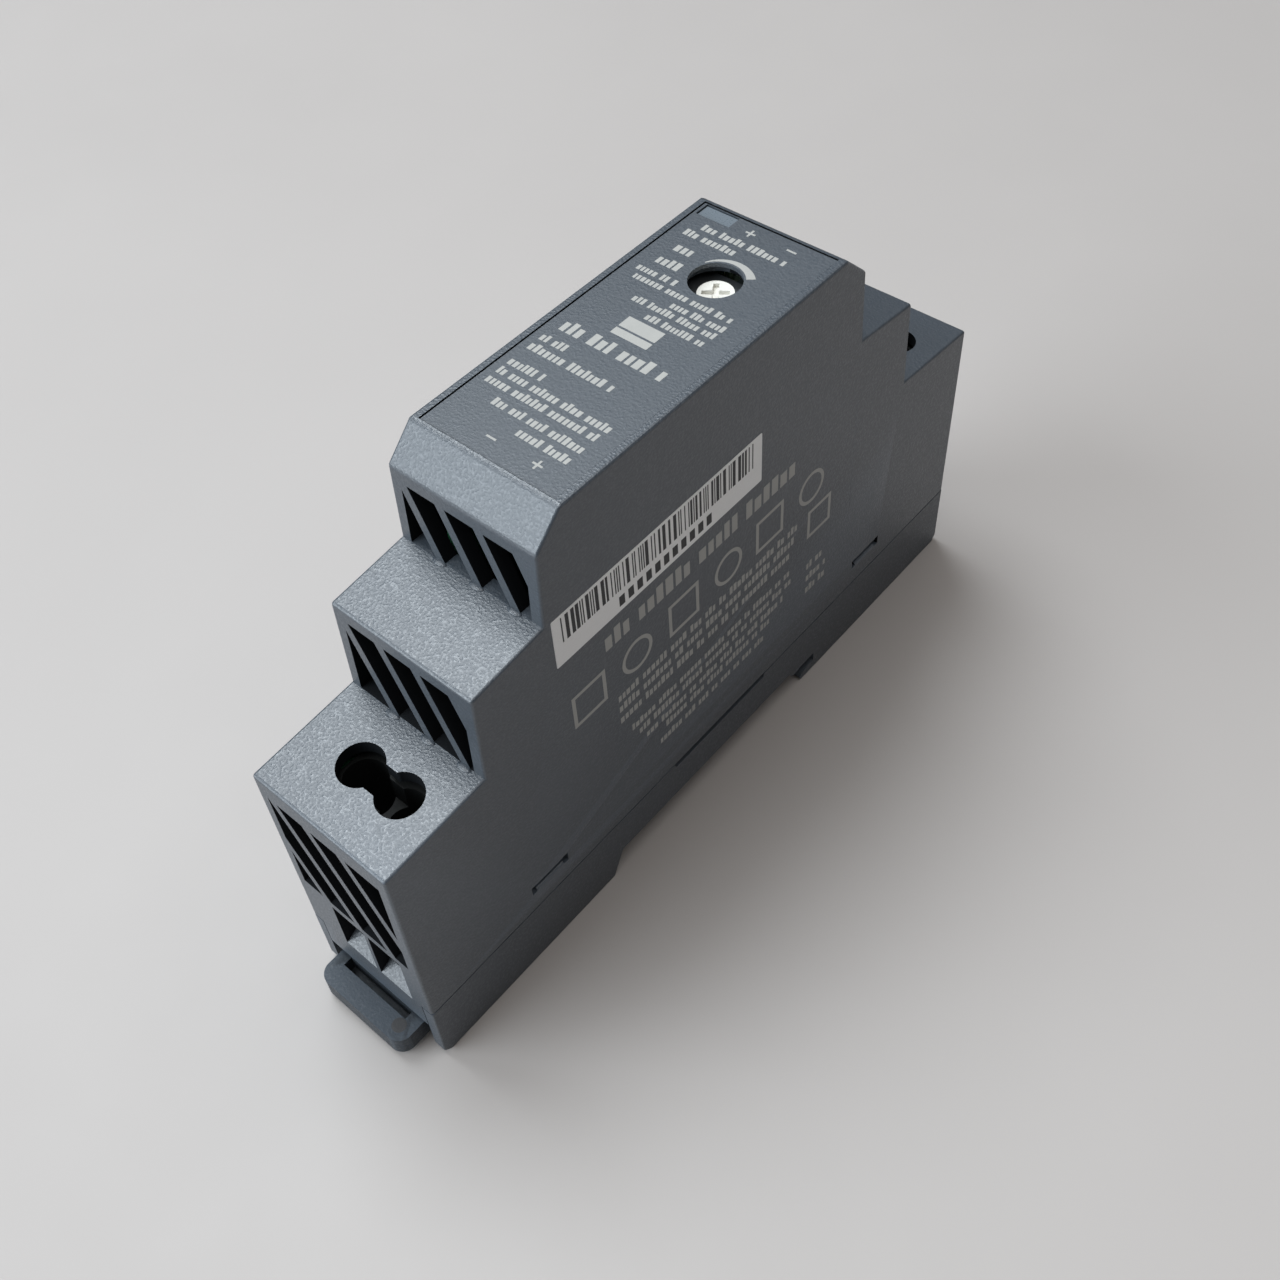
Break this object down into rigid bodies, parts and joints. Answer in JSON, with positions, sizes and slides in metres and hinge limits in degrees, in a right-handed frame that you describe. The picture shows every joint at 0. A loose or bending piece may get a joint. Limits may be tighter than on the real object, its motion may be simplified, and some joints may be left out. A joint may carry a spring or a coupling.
{
  "type": "din rail power supply",
  "caption": "One-module stepped power supply for a 35 mm rail, with slanted vents, screw terminals at both ends, a voltage trimmer and a sprung rail latch.",
  "frame": {"origin": "middle of the plane that seats on the rail, half way across the width and half way along the case", "axes": "+X across the width, +Y from the input end to the output end, +Z out of the front face"},
  "size_m": [0.0176, 0.0932, 0.0595],
  "materials": {
    "case": "fine grained moulding",
    "base": "fine grained moulding",
    "panel": "fine matt film",
    "lens": "clear frosted",
    "label": "matt",
    "latch": "fine grained moulding",
    "steel": "zinc plated",
    "screw_steel": "nickel plated",
    "board": "solder resist",
    "ferrite": "sintered",
    "bobbin": "moulded",
    "tape": "wound tape",
    "pins": "tinned",
    "sleeve": "shrunk sleeve",
    "can": "drawn",
    "copper": "enamelled wire",
    "mould": "moulded epoxy",
    "white_mould": "moulded epoxy",
    "fuse": "glazed",
    "film": "dipped",
    "ceramic": "sintered",
    "led": "clear",
    "trimmer_case": "moulded",
    "rotor": "moulded",
    "terminal": "moulded",
    "contact": "tinned brass"
  },
  "bodies": {
    "case": {"front_housing": "case", "rear_base": "base", "front_panel": "panel", "status_lens": "lens", "serial_label": "label", "latch_spring": "steel", "circuit_board": "board", "transformer_core": "ferrite", "input_choke_core": "ferrite", "output_choke": "ferrite", "transformer_bobbin": "bobbin", "transformer_windings": "tape", "transformer_pins": "pins", "input_capacitors": "sleeve", "output_capacitors": "can", "input_choke_winding": "copper", "switching_transistor": "mould", "output_rectifier": "mould", "controller_chip": "mould", "feedback_chip": "mould", "sense_resistors": "mould", "optocoupler": "white_mould", "input_fuse": "fuse", "bridge_capacitor": "film", "ceramic_capacitors": "ceramic", "status_led": "led", "trimmer_body": "trimmer_case", "input_terminal_body": "terminal", "output_terminal_body": "terminal", "input_contacts": "contact", "output_contacts": "contact"},
    "latch": {"rail_latch": "latch"},
    "trimmer": {"trimmer_rotor": "rotor"},
    "input_screw_neg": {"input_screw_neg": "screw_steel"},
    "input_screw_pos": {"input_screw_pos": "screw_steel"},
    "output_screw_pos": {"output_screw_pos": "screw_steel"},
    "output_screw_neg": {"output_screw_neg": "screw_steel"},
    "input_cage_neg": {"input_cage_neg": "steel"},
    "input_cage_pos": {"input_cage_pos": "steel"},
    "output_cage_pos": {"output_cage_pos": "steel"},
    "output_cage_neg": {"output_cage_neg": "steel"}
  },
  "joints": [
    {"name": "latch_pull", "type": "slide", "parent": "case", "child": "latch", "axis": [0, -1, 0], "range_m": [0, 0.003], "stiffness_N_per_m": 3000, "springref_m": -0.001, "deforming": ["latch_spring"]},
    {"name": "voltage_trim", "type": "hinge", "parent": "case", "child": "trimmer", "pos_m": [0.00055, 0.01035, 0.0555], "axis": [0, 0, 1], "range_deg": [-135, 135]},
    {"name": "input_neg_turn", "type": "hinge", "parent": "case", "child": "input_screw_neg", "pos_m": [-0.0014, -0.0383, 0.0175], "axis": [0, 0, 1], "range_deg": [-2400.2, 0]},
    {"name": "input_neg_clamp", "type": "slide", "parent": "case", "child": "input_cage_neg", "axis": [0, 0, 1], "range_m": [0, 0.003]},
    {"name": "input_pos_turn", "type": "hinge", "parent": "case", "child": "input_screw_pos", "pos_m": [0.00368, -0.0383, 0.0175], "axis": [0, 0, 1], "range_deg": [-2400.2, 0]},
    {"name": "input_pos_clamp", "type": "slide", "parent": "case", "child": "input_cage_pos", "axis": [0, 0, 1], "range_m": [0, 0.003]},
    {"name": "output_pos_turn", "type": "hinge", "parent": "case", "child": "output_screw_pos", "pos_m": [-0.0014, 0.0383, 0.0175], "axis": [0, 0, 1], "range_deg": [-2400.2, 0]},
    {"name": "output_pos_clamp", "type": "slide", "parent": "case", "child": "output_cage_pos", "axis": [0, 0, 1], "range_m": [0, 0.003]},
    {"name": "output_neg_turn", "type": "hinge", "parent": "case", "child": "output_screw_neg", "pos_m": [0.00368, 0.0383, 0.0175], "axis": [0, 0, 1], "range_deg": [-2400.2, 0]},
    {"name": "output_neg_clamp", "type": "slide", "parent": "case", "child": "output_cage_neg", "axis": [0, 0, 1], "range_m": [0, 0.003]}
  ],
  "couplings": [
    {"joint": "input_neg_turn", "follows": "input_neg_clamp", "rad_per_m": -13963},
    {"joint": "input_pos_turn", "follows": "input_pos_clamp", "rad_per_m": -13963},
    {"joint": "output_pos_turn", "follows": "output_pos_clamp", "rad_per_m": -13963},
    {"joint": "output_neg_turn", "follows": "output_neg_clamp", "rad_per_m": -13963}
  ]
}
